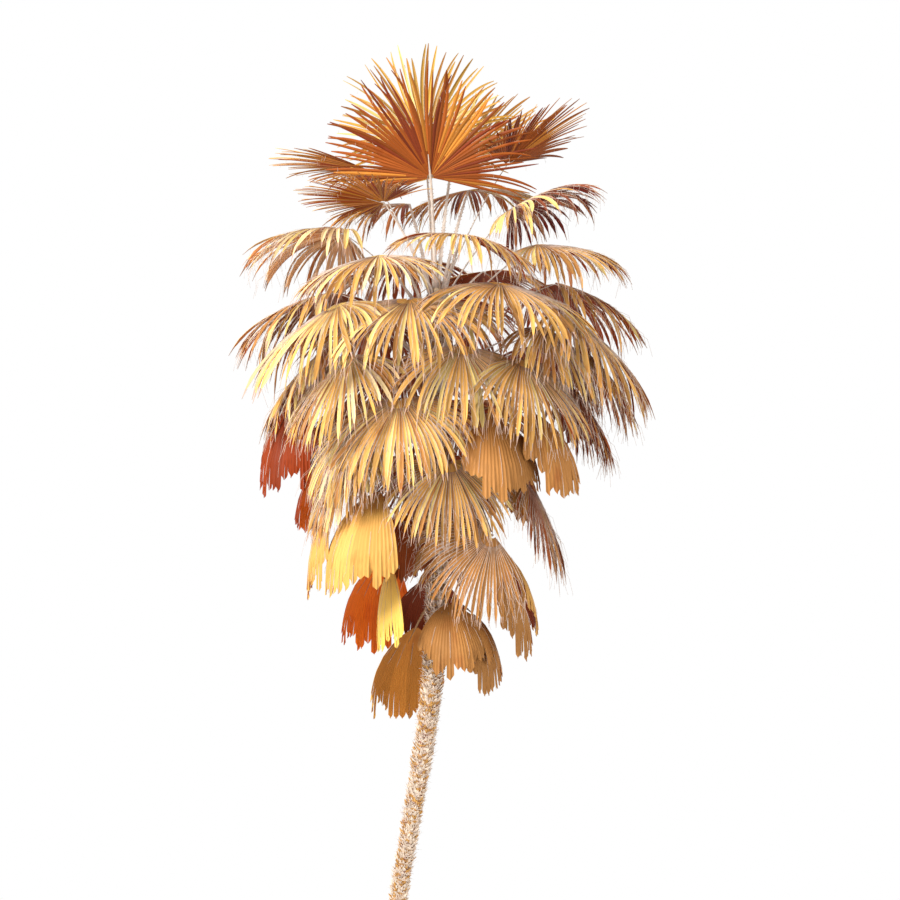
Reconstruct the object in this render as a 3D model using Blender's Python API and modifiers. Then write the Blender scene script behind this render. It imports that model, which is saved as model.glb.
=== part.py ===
"""Mexican fan palm: a slender leaning trunk, a crown of fan fronds and a skirt of dead hanging fronds.

Metres and degrees, +Z up. The origin is the centre of the flat cut at ground level.
Each frond is one closed solid: a tapering leaf stalk fused to a thin blade whose leaflets part
beyond the joined middle of the fan.
"""

import math

import bmesh
import bpy
from mathutils import Vector
from mathutils.bvhtree import BVHTree

# Trunk: it leaves the ground upright, leans over towards +X between two heights, and is thicker
# where the old leaf bases cling to it.
TRUNK_TOP = 8.15
TRUNK_RINGS = 22
RING_SPREAD = 1.18
TRUNK_SIDES_RESOLUTION = 4
LEAN = 0.52
LEAN_START = 0.06
LEAN_END = 4.50
SHAFT_RADIUS = 0.086
CLAD_RADIUS = 0.112
CLAD_FROM = 1.6
CLAD_TO = 4.2
FLARE = 0.115
FLARE_HEIGHT = 0.30
BUD_START = 7.70
BUD_RADIUS = 0.060
SEAT_GAP = 0.00033

# Leaf stalks: seated in a spiral down the trunk, youngest highest, and carried on as the rib
# through a share of the blade.
HIGHEST_SEAT = 8.08
LOWEST_SEAT = 4.62
SEAT_CROWDING = 1.2
STALK_RESOLUTION = 0
STALK_ROOT_RADIUS = 0.026
STALK_TIP_RADIUS = 0.014
STALK_POINTS = 6
STALK_ARCH = 0.12
SEAT_DEPTH = 0.45
COSTA = 0.16
COSTA_TIP_RADIUS = 0.0084

# Blades: a leaflet keeps its clearance to everything else, and is made shorter or left out where
# it can't. The front of the palm is at -Y.
BLADE_THICKNESS = 0.012
CLEARANCE = 0.0165
HUB_RING = 0.04
SAMPLE_STEP = 0.022
GRAVITY = Vector((0, 0, -1))
PATH_STEPS = 20
SIDE_SHORTER = 0.16
LIMP_AT_HUB = 0.35
LIMP_GAIN = 1.3
SHORTER = (1.0, 0.72, 0.45, 0.2)
FRONT = -90
FRONT_HALF = 118

# Kinds of frond: leaflet length, half spread of the fan, sag per metre, share of the leaflet that
# is joined to its neighbours, width left at the tip, number of leaflets, cup of the fan, and how
# much shorter the shortest leaflets end. Bends are where the joined part is cut into rows, as
# shares of it, and so are the steps of the free part.
FAN_BENDS = dict(bends=(0.52, 1.0), steps=(0.5, 1.0), ragged=0, leaflets=9)
KINDS = {
    "upright": dict(length=1.28, spread=106, sag=0.16, joined=0.48, tip=0.22, cup=4, **FAN_BENDS),
    "arching": dict(length=1.28, spread=108, sag=0.52, joined=0.42, tip=0.22, cup=-6, **FAN_BENDS),
    "drooping": dict(length=1.16, spread=100, sag=0.70, joined=0.46, tip=0.24, cup=-8, **FAN_BENDS),
    "folded": dict(
        length=1.15, spread=62, sag=2.40, joined=0.62, tip=0.90, cup=-6,
        bends=(0.38, 0.75, 1.0), steps=(1.0,), ragged=0.14, leaflets=5,
    ),
}

# Every frond, youngest first: name, kind, azimuth about the trunk, reach of the hub from the
# trunk's axis, height of the hub, pitch of the blade at the hub, swing of the blade off the
# azimuth, roll of the blade and its size.
FRONDS = (
    ("spear_fan", "upright", 152, 0.14, 9.62, 82, -50, 0, 0.94),
    ("front_fan", "upright", -100, 0.34, 9.22, 60, 0, 0, 1.05),
    ("back_fan", "upright", 66, 0.38, 9.36, 55, 0, 0, 1.10),
    ("left_fan", "upright", -156, 0.62, 8.96, 12, 0, 8, 0.80),
    ("right_high_fan", "upright", 3, 0.78, 9.42, 36, 0, -18, 0.88),
    ("left_high_fan", "upright", 171, 0.74, 9.36, 10, 0, 8, 0.90),
    ("right_fan", "arching", -10, 0.84, 8.90, 28, 0, 2, 0.92),
    ("back_low_fan", "arching", 60, 0.72, 9.22, 12, 0, 0, 0.90),
    ("back_left_fan", "arching", 118, 0.66, 9.06, 8, 0, 0, 0.90),
    ("arch_left", "arching", 176, 1.02, 8.66, 0, 0, 10, 1.06),
    ("arch_front", "arching", -72, 0.90, 8.52, -2, 0, -9, 0.85),
    ("arch_back_right", "arching", 58, 1.00, 8.32, -10, 0, -4, 0.88),
    ("arch_right", "arching", -16, 1.14, 8.50, -3, 0, 7, 0.94),
    ("arch_front_left", "arching", -130, 0.94, 8.34, -14, 0, 0, 0.92),
    ("arch_back_left", "arching", 114, 1.00, 8.46, -8, 0, -6, 0.95),
    ("bend_left", "arching", 160, 1.22, 8.04, -14, 0, 0, 1.20),
    ("bend_front_right", "arching", -50, 1.06, 8.04, -16, 0, 0, 1.12),
    ("bend_back_right", "arching", 18, 1.40, 8.14, -18, 0, 0, 1.08),
    ("bend_front", "arching", -106, 0.98, 7.86, -24, 0, 0, 1.08),
    ("bend_back", "arching", 88, 1.12, 8.02, -22, 0, 0, 1.02),
    ("bend_front_left", "arching", -152, 1.18, 7.84, -30, 0, 0, 1.18),
    ("bend_right", "drooping", -28, 1.32, 7.58, -36, 0, 0, 1.00),
    ("bend_back_left", "arching", 126, 1.18, 7.80, -28, 0, 0, 1.02),
    ("droop_right", "arching", -12, 1.54, 7.70, -38, 0, 0, 1.18),
    ("droop_front", "drooping", -74, 1.00, 7.36, -36, 0, 0, 1.10),
    ("droop_back_right", "drooping", 30, 1.34, 7.46, -36, 0, 0, 1.04),
    ("droop_left", "drooping", 174, 1.28, 7.36, -42, 0, 0, 1.12),
    ("droop_front_left", "drooping", -144, 1.14, 7.28, -44, 0, 0, 1.14),
    ("droop_back", "drooping", 110, 1.16, 7.34, -38, 0, 0, 1.06),
    ("droop_front_right", "drooping", -42, 1.22, 7.24, -42, 0, 0, 1.14),
    ("droop_far_right", "drooping", 8, 1.64, 7.40, -44, 0, 0, 1.06),
    ("hang_right", "drooping", 8, 1.46, 7.02, -50, 0, 0, 1.06),
    ("hang_front", "drooping", -112, 1.00, 6.82, -48, 0, 0, 1.08),
    ("hang_back_right", "drooping", 74, 1.12, 6.85, -50, 0, 0, 1.04),
    ("hang_back_left", "drooping", 142, 1.14, 6.82, -52, 0, 0, 1.0),
    ("hang_front_left", "drooping", -140, 1.08, 6.60, -56, 0, 0, 1.0),
    ("skirt_right_back", "folded", 22, 1.62, 7.02, -50, 0, 0, 1.00),
    ("skirt_left_back", "folded", 166, 1.58, 6.86, -44, 60, 0, 1.12),
    ("skirt_front_right", "folded", -56, 0.98, 6.66, -24, 0, 0, 1.04),
    ("skirt_right", "folded", -32, 1.16, 6.70, -24, 0, 0, 1.08),
    ("low_front", "drooping", -80, 0.86, 6.16, -60, 0, 0, 0.94),
    ("low_left", "drooping", -154, 1.02, 6.28, -58, 0, 0, 0.98),
    ("low_back", "drooping", 96, 0.96, 6.20, -60, 0, 0, 1.04),
    ("low_right", "drooping", -10, 1.04, 5.94, -62, 0, 0, 1.06),
    ("low_back_right", "folded", 46, 1.00, 6.30, -36, 0, 0, 1.0),
    ("low_back_left", "folded", 160, 1.30, 6.22, -44, 0, 0, 0.92),
    ("skirt_front_left", "folded", -136, 0.84, 5.84, -26, 0, 0, 1.24),
    ("skirt_left", "folded", -172, 1.14, 5.82, -58, 0, 0, 1.12),
    ("skirt_low_right", "drooping", -56, 1.08, 5.38, -30, -124, -78, 0.93),
    ("skirt_back", "folded", 84, 0.70, 5.66, -36, 0, 0, 1.0),
    ("skirt_right_low_back", "folded", 20, 0.74, 5.20, -40, 0, 0, 1.05),
    ("skirt_left_low_back", "folded", 134, 0.80, 5.08, -40, 0, 0, 1.16),
    ("skirt_inner_front", "folded", -128, 0.42, 5.60, -62, 0, 0, 0.76),
    ("tail_front_left", "folded", -140, 0.64, 5.04, -76, -20, 0, 0.90),
    ("tail_right", "folded", -16, 0.74, 5.02, -50, 0, 0, 1.00),
    ("tail_front", "folded", -68, 0.34, 4.62, -26, 0, 0, 0.86),
    ("tail_back", "folded", 98, 0.40, 4.86, -40, 0, 0, 0.90),
    ("tail_low_right", "folded", -28, 0.44, 4.50, -50, 0, 0, 0.86),
    ("tail_left", "folded", 126, 0.38, 4.30, -44, 0, 0, 1.12),
)

COLOURS = {
    "trunk": (0.62, 0.47, 0.30),
    "upright": (0.70, 0.27, 0.06),
    "arching": (0.83, 0.55, 0.20),
    "drooping": (0.80, 0.52, 0.19),
    "folded": (0.74, 0.40, 0.11),
}
ROUGHNESS = {"trunk": 0.85, "upright": 0.55, "arching": 0.6, "drooping": 0.65, "folded": 0.7}


def smooth_step(share):
    """Eased share of a span, held between 0 and 1."""
    share = min(1.0, max(0.0, share))
    return share * share * (3 - 2 * share)


def trunk_axis(height):
    """Point of the trunk's leaning axis at a height."""
    return Vector((LEAN * smooth_step((height - LEAN_START) / (LEAN_END - LEAN_START)), 0, height))


def trunk_radius(height):
    """Flared at the ground, thicker where the old leaf bases cling, narrowing to the bud."""
    clad = smooth_step((height - CLAD_FROM) / (CLAD_TO - CLAD_FROM))
    radius = SHAFT_RADIUS + (CLAD_RADIUS - SHAFT_RADIUS) * clad
    radius += FLARE * math.exp(-height / FLARE_HEIGHT)
    bud = smooth_step((height - BUD_START) / (TRUNK_TOP - BUD_START))
    return radius + (BUD_RADIUS - radius) * bud


def material(name):
    made = bpy.data.materials.get(name)
    if made:
        return made
    made = bpy.data.materials.new(name)
    made.use_nodes = True
    shader = made.node_tree.nodes["Principled BSDF"]
    shader.inputs["Base Color"].default_value = (*COLOURS[name], 1)
    shader.inputs["Roughness"].default_value = ROUGHNESS[name]
    shader.inputs["Metallic"].default_value = 0
    return made


def tube(name, points, radii, resolution, collection):
    """A curve object through the points, round and tapering, with filled ends."""
    curve = bpy.data.curves.new(name, "CURVE")
    curve.dimensions = "3D"
    curve.bevel_depth = 1.0
    curve.bevel_resolution = resolution
    curve.use_fill_caps = True
    spline = curve.splines.new("POLY")
    spline.points.add(len(points) - 1)
    for spot, place, radius in zip(spline.points, points, radii):
        spot.co = (*place, 1)
        spot.radius = radius
    made = bpy.data.objects.new(name, curve)
    collection.objects.link(made)
    return made


def as_mesh(source, collection):
    """The evaluated shape of an object as a new mesh object with its caps welded; the source goes."""
    bpy.context.view_layer.update()
    graph = bpy.context.evaluated_depsgraph_get()
    mesh = bpy.data.meshes.new_from_object(source.evaluated_get(graph))
    name = source.name
    place = source.matrix_world.copy()
    bpy.data.objects.remove(source)
    mesh.name = name
    shape = bmesh.new()
    shape.from_mesh(mesh)
    bmesh.ops.remove_doubles(shape, verts=shape.verts, dist=0.00001)
    bmesh.ops.recalc_face_normals(shape, faces=shape.faces)
    shape.to_mesh(mesh)
    shape.free()
    made = bpy.data.objects.new(name, mesh)
    made.matrix_world = place
    collection.objects.link(made)
    return made


def make_trunk(name, extra, collection):
    """The trunk, extra metres thicker all round."""
    heights = [0.0, LEAN_START]
    count = TRUNK_RINGS - 2
    for ring in range(1, count + 1):
        share = ring / count
        heights.append(LEAN_START + (TRUNK_TOP - LEAN_START) * share ** RING_SPREAD)
    points = [trunk_axis(height) for height in heights]
    radii = [trunk_radius(height) + extra for height in heights]
    return as_mesh(tube(name, points, radii, TRUNK_SIDES_RESOLUTION, collection), collection)


def direction(azimuth, pitch):
    """Unit vector at a compass azimuth, counted from +X, and a pitch above the horizon."""
    turn, rise = math.radians(azimuth), math.radians(pitch)
    return Vector((math.cos(turn) * math.cos(rise), math.sin(turn) * math.cos(rise), math.sin(rise)))


class Frond:
    """The places and paths of one frond."""

    def __init__(self, rank, name, kind, azimuth, reach, height, pitch, swing, roll, size):
        self.name = name
        self.kind = kind
        self.azimuth = azimuth
        self.shape = KINDS[kind]
        self.length = self.shape["length"] * size
        self.hub = trunk_axis(height) + direction(azimuth, 0) * reach
        self.forward = direction(azimuth + swing, pitch)
        level = direction(azimuth + swing + 90, 0)
        tilt = math.radians(roll)
        self.side = level * math.cos(tilt) + self.forward.cross(level) * math.sin(tilt)
        self.up = self.forward.cross(self.side)
        share = (rank / (len(FRONDS) - 1)) ** SEAT_CROWDING
        self.seat_height = HIGHEST_SEAT - (HIGHEST_SEAT - LOWEST_SEAT) * share
        self.paths = {}

    def stalk_points(self):
        """From inside the trunk to the far end of the rib in the blade, on one smooth curve."""
        start = trunk_axis(self.seat_height)
        start += direction(self.azimuth, 0) * trunk_radius(self.seat_height) * SEAT_DEPTH
        middle = start.lerp(self.hub, 0.5) - GRAVITY * STALK_ARCH * (self.hub - start).length
        points = []
        for step in range(STALK_POINTS):
            share = step / (STALK_POINTS - 1)
            first = start.lerp(middle, share)
            points.append(first.lerp(middle.lerp(self.hub, share), share))
        points.append(self.leaflet_path(0)[round(PATH_STEPS * COSTA)])
        return points

    def leaflet_path(self, angle):
        """Points along the leaflet at an angle off the rib; it sags towards the ground."""
        if angle in self.paths:
            return self.paths[angle]
        shape = self.shape
        turn = math.radians(angle)
        heading = self.forward * math.cos(turn) + self.side * math.sin(turn)
        lift = math.radians(shape["cup"]) * abs(angle) / shape["spread"]
        heading = (heading + self.up * math.tan(lift)).normalized()
        step = self.length * (1 - SIDE_SHORTER * (angle / shape["spread"]) ** 2) / PATH_STEPS
        points = [self.hub.copy()]
        for index in range(PATH_STEPS):
            limp = LIMP_AT_HUB + LIMP_GAIN * index / PATH_STEPS
            heading = (heading + GRAVITY * shape["sag"] * limp * step).normalized()
            points.append(points[-1] + heading * step)
        self.paths[angle] = points
        return points

    def along(self, angle, share):
        """Point at a share of the length of the leaflet at an angle."""
        path = self.leaflet_path(angle)
        place = min(share * PATH_STEPS, PATH_STEPS - 1e-6)
        index = int(place)
        return path[index].lerp(path[index + 1], place - index)

    def rows(self, number, shorter):
        """Shares of the length where a leaflet is cut into rows, and its width at each."""
        shape = self.shape
        joined, tip = shape["joined"], shape["tip"]
        free = (1 - joined) * shorter - shape["ragged"] * (number * 2 % 3) / 2
        rows = [(HUB_RING / self.length, 1)]
        rows += [(joined * share, 1) for share in shape["bends"]]
        rows += [(joined + free * share, 1 + (tip - 1) * share) for share in shape["steps"]]
        return rows

    def edges(self, number):
        """Angles of the two sides and of the middle of a leaflet."""
        count = self.shape["leaflets"]
        width = 2 * self.shape["spread"] / count
        left = -self.shape["spread"] + number * width
        return left, left + width, left + width / 2

    def corner(self, number, side, share, width):
        """Point on a leaflet's side at a share of its length."""
        left, right, middle = self.edges(number)
        edge = self.along(right if side else left, share)
        return self.along(middle, share).lerp(edge, width)


def leaflet_strip(frond, number, shorter):
    """Corner pairs of a leaflet from the hub to its tip."""
    return [
        (frond.corner(number, 0, share, width), frond.corner(number, 1, share, width))
        for share, width in frond.rows(number, shorter)
    ]


def strip_tree(strips):
    """A search tree over strips of corner pairs."""
    points, faces = [], []
    for strip in strips:
        for index, (left, right) in enumerate(strip):
            points += [left, right]
            if index:
                last = len(points)
                faces += [(last - 4, last - 3, last - 1), (last - 4, last - 1, last - 2)]
    return BVHTree.FromPolygons(points, faces)


def strip_samples(strip):
    """Points spread evenly over a strip."""
    samples = []
    for (left, right), (next_left, next_right) in zip(strip, strip[1:]):
        length = max((next_left - left).length, (next_right - right).length)
        width = max((right - left).length, (next_right - next_left).length)
        down, across = max(1, math.ceil(length / SAMPLE_STEP)), max(1, math.ceil(width / SAMPLE_STEP))
        for row in range(down + 1):
            a, b = left.lerp(next_left, row / down), right.lerp(next_right, row / down)
            samples += [a.lerp(b, column / across) for column in range(across + 1)]
    return samples


def box_of(points):
    """Lowest and highest corner of the box around the points."""
    low = Vector([min(point[axis] for point in points) for axis in range(3)])
    high = Vector([max(point[axis] for point in points) for axis in range(3)])
    return low, high


class Obstacle:
    """What a leaflet has to keep clear of: a search tree, the box around it and whose it is."""

    def __init__(self, tree, points, owner):
        self.tree = tree
        self.owner = owner
        low, high = box_of(points)
        self.low = low - Vector((CLEARANCE, CLEARANCE, CLEARANCE))
        self.high = high + Vector((CLEARANCE, CLEARANCE, CLEARANCE))

    def misses_box(self, low, high):
        return any(self.high[axis] < low[axis] or self.low[axis] > high[axis] for axis in range(3))


def is_clear(strip, obstacles, owner):
    """True where a strip keeps its distance from everything that isn't its own frond."""
    low, high = box_of([corner for pair in strip for corner in pair])
    near = [o for o in obstacles if o.owner != owner and not o.misses_box(low, high)]
    if not near:
        return True
    tree = strip_tree([strip])
    if any(tree.overlap(obstacle.tree) for obstacle in near):
        return False
    samples = strip_samples(strip)
    return not any(
        obstacle.tree.find_nearest(sample, CLEARANCE)[0] is not None
        for obstacle in near
        for sample in samples
    )


def solid_obstacle(solid, owner):
    """An obstacle with the shape of a mesh object."""
    corners = [vert.co.copy() for vert in solid.data.vertices]
    tree = BVHTree.FromPolygons(corners, [face.vertices for face in solid.data.polygons])
    return Obstacle(tree, corners, owner)


def takes_room_late(frond):
    """True at the back of the palm, whose fronds fill the room that the others leave."""
    return abs((frond.azimuth - FRONT + 180) % 360 - 180) > FRONT_HALF


def choose_leaflets(frond, obstacles):
    """How long each leaflet may be: counted out from the rib until one finds no room at all."""
    count = frond.shape["leaflets"]
    middle = count // 2
    chosen = {}
    for side in (range(middle, count), range(middle - 1, -1, -1)):
        for number in side:
            fits = next(
                (s for s in SHORTER if is_clear(leaflet_strip(frond, number, s), obstacles, frond.name)),
                None,
            )
            if fits is None:
                break
            chosen[number] = fits
    return chosen


def blade_surface(frond, chosen):
    """The fan as an open sheet: a grid whose columns part beyond the joined rows."""
    count = frond.shape["leaflets"]
    rows = frond.rows(0, 1.0)
    joined_row = len(frond.shape["bends"])
    shape = bmesh.new()
    bmesh.ops.create_grid(shape, x_segments=count, y_segments=len(rows) - 1, size=1)

    def column_of(x):
        return (x + 1) / 2 * count

    def row_of(y):
        return round((y + 1) / 2 * (len(rows) - 1))

    parted = [
        edge
        for edge in shape.edges
        if abs(edge.verts[0].co.x - edge.verts[1].co.x) < 1e-4
        and min(row_of(v.co.y) for v in edge.verts) >= joined_row
        and not edge.is_boundary
    ]
    bmesh.ops.split_edges(shape, edges=parted)
    lost = []
    places = {}
    for face in shape.faces:
        middle = face.calc_center_median()
        number = int(column_of(middle.x))
        if number not in chosen:
            lost.append(face)
            continue
        for vert in face.verts:
            side = column_of(vert.co.x) > number + 0.5
            share, width = frond.rows(number, chosen[number])[row_of(vert.co.y)]
            places[vert] = frond.corner(number, side, share, width)
    for vert, place in places.items():
        vert.co = place
    bmesh.ops.delete(shape, geom=lost, context="FACES")
    return shape


def make_frond(frond, chosen, collection, cutters, trunk_cutter):
    """One solid: the thickened fan joined with its stalk, and cut clear of the trunk."""
    points = frond.stalk_points()
    slimmer = (STALK_TIP_RADIUS - STALK_ROOT_RADIUS) / (STALK_POINTS - 1)
    radii = [STALK_ROOT_RADIUS + slimmer * step for step in range(STALK_POINTS)] + [COSTA_TIP_RADIUS]
    stalk = as_mesh(tube(frond.name + "_stalk", points, radii, STALK_RESOLUTION, cutters), cutters)
    surface = blade_surface(frond, chosen)
    mesh = bpy.data.meshes.new(frond.name)
    surface.to_mesh(mesh)
    surface.free()
    blade = bpy.data.objects.new(frond.name, mesh)
    collection.objects.link(blade)
    thicken = blade.modifiers.new("thickness", "SOLIDIFY")
    thicken.thickness = BLADE_THICKNESS
    thicken.offset = 0
    join = blade.modifiers.new("stalk", "BOOLEAN")
    join.operation = "UNION"
    join.solver = "MANIFOLD"
    join.object = stalk
    seat = blade.modifiers.new("seat", "BOOLEAN")
    seat.operation = "DIFFERENCE"
    seat.solver = "MANIFOLD"
    seat.object = trunk_cutter
    made = as_mesh(blade, collection)
    bpy.data.objects.remove(stalk)
    made.data.materials.clear()
    made.data.materials.append(material(frond.kind))
    return made


def main():
    for old in list(bpy.data.objects):
        bpy.data.objects.remove(old)
    palm = bpy.data.collections.new("fan_palm")
    cutters = bpy.data.collections.new("cutters")
    for collection in (palm, cutters):
        bpy.context.scene.collection.children.link(collection)
    trunk = make_trunk("trunk", 0, palm)
    trunk.data.materials.append(material("trunk"))
    cutter = make_trunk("trunk_clearance", SEAT_GAP, cutters)
    cutter.hide_render = True
    cutter.display_type = "WIRE"

    fronds = [Frond(rank, *row) for rank, row in enumerate(FRONDS)]
    obstacles = [solid_obstacle(trunk, "trunk")]
    for frond in fronds:
        points = frond.stalk_points()[:-1]
        widest = [STALK_ROOT_RADIUS] * len(points)
        way = as_mesh(tube(frond.name + "_way", points, widest, STALK_RESOLUTION, cutters), cutters)
        obstacles.append(solid_obstacle(way, frond.name))
        bpy.data.objects.remove(way)
    for frond in sorted(fronds, key=takes_room_late):
        chosen = choose_leaflets(frond, obstacles)
        strips = [leaflet_strip(frond, number, shorter) for number, shorter in chosen.items()]
        if strips:
            corners = [corner for strip in strips for pair in strip for corner in pair]
            obstacles.append(Obstacle(strip_tree(strips), corners, frond.name))
        if chosen:
            make_frond(frond, chosen, palm, cutters, cutter)


main()
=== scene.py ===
"""Dresses the Mexican fan palm: leaflets, threads, thorny stalks and shaggy bark round its solids.

Metres and degrees, +Z up. The origin is the centre of the flat cut at ground level, and the front
of the palm is at -Y. Every frond grows by the rule of its solid, carried on to finer leaflets.
"""

import math
import random

import bmesh
import bpy
from bpy.props import FloatProperty, FloatVectorProperty, IntProperty, PointerProperty
from bpy.types import Operator, Panel, PropertyGroup
from mathutils import Matrix, Vector, noise
from mathutils.bvhtree import BVHTree


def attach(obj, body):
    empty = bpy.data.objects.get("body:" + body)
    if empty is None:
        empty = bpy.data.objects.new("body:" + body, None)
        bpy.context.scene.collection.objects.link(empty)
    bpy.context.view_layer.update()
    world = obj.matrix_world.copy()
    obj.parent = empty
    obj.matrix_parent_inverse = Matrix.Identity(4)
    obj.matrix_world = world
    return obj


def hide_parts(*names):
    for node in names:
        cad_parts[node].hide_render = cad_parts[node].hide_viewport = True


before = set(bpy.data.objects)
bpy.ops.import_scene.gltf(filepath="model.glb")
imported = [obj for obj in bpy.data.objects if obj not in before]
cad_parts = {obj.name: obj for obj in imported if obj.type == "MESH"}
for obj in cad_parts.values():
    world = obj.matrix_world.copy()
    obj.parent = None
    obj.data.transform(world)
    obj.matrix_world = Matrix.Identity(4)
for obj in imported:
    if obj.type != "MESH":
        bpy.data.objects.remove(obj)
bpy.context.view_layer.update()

bl_info = {
    "name": "Mexican Fan Palm",
    "version": (1, 0, 0),
    "blender": (4, 5, 0),
    "location": "View3D > Sidebar > Fan Palm",
    "description": "Leaflets, threads, stalks and bark for the solids of a Mexican fan palm",
    "category": "Object",
}

MERGE_DISTANCE = 0.00001
BODY = "root"
GRAVITY = Vector((0, 0, -1))

# Trunk, by the rule of its solid: it leans over towards +X between two heights, and is thicker
# where the old leaf bases cling to it.
TRUNK_TOP = 8.15
LEAN = 0.52
LEAN_START = 0.06
LEAN_END = 4.50
SHAFT_RADIUS = 0.086
CLAD_RADIUS = 0.112
CLAD_FROM = 1.6
CLAD_TO = 4.2
FLARE = 0.115
FLARE_HEIGHT = 0.30
BUD_START = 7.70
BUD_RADIUS = 0.060

# Stalks, by the rule of their solids: seated in a spiral down the trunk, youngest highest, each
# with a flatter sheath over its first share and a rib that runs on under the blade.
HIGHEST_SEAT = 8.08
LOWEST_SEAT = 4.62
SEAT_CROWDING = 1.2
SEAT_DEPTH = 0.45
STALK_ARCH = 0.12
STALK_STEPS = 11
STALK_ROOT_RADIUS = 0.026
STALK_TIP_RADIUS = 0.014
STALK_SIDES = 8
SHEATH_SHARE = 0.2
SHEATH_FLATNESS = 0.42
RIB_END = 0.20
RIB_STEPS = 4
RIB_NARROWS = 0.75
RIB_DEPTH = 0.6
FRESH_AGE = 0.42
THORN_RADII = (0.0035, 0.0004)

# Blades, by the rule of their solids; then the rows of a leaflet in its joined and its free part,
# and how much deeper than its kind's figure it is pleated.
PATH_STEPS = 20
HUB_RING = 0.04
SIDE_SHORTER = 0.16
LIMP_AT_HUB = 0.35
LIMP_GAIN = 1.3
JOINED_ROWS = 4
FREE_ROWS = 8
TIP_ROWS = 1
PLEAT_SCALE = 1.5
BLADE_NEAR = 0.11
SHARE_STEP = 0.04
SHARP_ANGLE = math.radians(30)

# Free leaflets: the stretch that gives them their heading, how much more a broken one droops, their
# sway, how slim they get within a share of the free part, and how the wisp sets in and narrows.
HEADING_STEP = 0.03
BROKEN_DROOP = 2.6
SWAY = 0.20
SLIMNESS = (0.6, 1.1)
SLIM_WITHIN = 0.25
WISP_SHARE = 0.18
WISP_NARROWS = 0.6

# Dead fans: the shares of the full depth that teeth have, and of the raggedness that ribs have.
TEETH = (0.3, 1)
RAGGED_RIBS = (0, 1, 0.5)

# Threads: height above the leaflet, the free rows by which they come loose, shares of the full
# drop, that of a leaflet that isn't withered, how far they run on and drift, and how many leaflets
# of a dead fan share one.
THREAD_LIFT = 0.001
LOOSE_ROWS = range(1, 7)
DROPS = (0.3, 1.0)
FRESH_THREAD = 0.35
THREAD_RUN = 0.6
THREAD_DRIFT = 0.35
LEAFLETS_PER_THREAD = 6

# Bark: its grid, how close scars, cracks and lumps are round the trunk and up it, and the share of
# the old leaf bases that is left at the worn foot, up to where they are whole.
BARK_COLUMNS = 48
BARK_ROWS = 300
SCARS = (1.4, 26)
CRACKS = (7.0, 3.2)
LUMPS = (2.2, 5.0)
WORN_SHARE = 0.25
WORN_FROM = 0.1
WORN_OVER = 1.0

# Old leaf bases: how far the points of a torn end stand off its edge, and the materials of a base's
# body and end.
TORN_ENDS = ((-0.2, 0.25, -0.3, 0.35, -0.1), (0.2, -0.25, 0.1, -0.3, 0.3), (-0.3, 0.0, 0.5, 0.05, -0.3))
BASE_TONES = ((1, 0), (1, 0), (1, 1), (2, 0), (0, 0), (2, 1), (0, 0))
GOLDEN_TURN = math.radians(137.508)
CLAD_LENGTH = TRUNK_TOP - 0.5
BASES_FROM = 0.05
BASES_OVER = TRUNK_TOP - 0.4
BASE_TILT = 12
FIBRES_FROM = 0.12
FIBRES_TO = TRUNK_TOP - 0.35
FIBRE_RADII = (0.0024, 0.0008)

# The point that the lights aim at, and the size and place of each.
LIT_POINT = (0.5, 0, 6.6)
KEY_SIZE = 5.0
KEY_PLACE = (-9.5, -9, 12)
FILL_SIZE = 6.0
FILL_PLACE = (10, -8, 5)

# Kinds of frond: leaflet length, half spread of the fan, sag per metre, joined share, cup of the
# fan and ribs, as in the solids. Then the leaflets to a rib, the slot, the share of its length where
# a leaflet parts, how its tip droops, how its free part swells and tapers, the share of that part
# before the wisp, the wisp's breadth, how far it twists, how uneven the ends are, the depth of its
# pleat, how near the solid its tip stays, how much shorter a rib may end, and if tips are withered.
OPEN = dict(
    length=1.28, spread=108, sag=0.52, joined=0.42, cup=-6, ribs=9, leaflets=5, slot="open_leaf",
    split=0.36, droop=2.4, swell=0.85, taper=0.25, body=0.76, wisp=0.14, twist=56, uneven=0.12,
    pleat=0.14, near=0.3, ragged=0, withered=True,
)
KINDS = {
    "upright": dict(
        length=1.28, spread=106, sag=0.16, joined=0.48, cup=4, ribs=9, leaflets=6, slot="young_leaf",
        split=0.42, droop=0.6, swell=0.55, taper=0.6, body=0.86, wisp=0.3, twist=34, uneven=0.16,
        pleat=0.14, near=0.22, ragged=0, withered=False,
    ),
    "arching": OPEN,
    "drooping": dict(
        OPEN, length=1.16, spread=100, sag=0.7, joined=0.46, cup=-8, slot="hanging_leaf",
        split=0.4, droop=2.2, swell=0.8,
    ),
    "folded": dict(
        length=1.15, spread=62, sag=2.4, joined=0.62, cup=-6, ribs=5, leaflets=6, slot="dead_leaf",
        split=0.62, droop=0, swell=0, taper=0, body=1, wisp=1, twist=0, uneven=0.06,
        pleat=0.11, near=0.12, ragged=0.14, withered=False,
    ),
}

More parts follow.
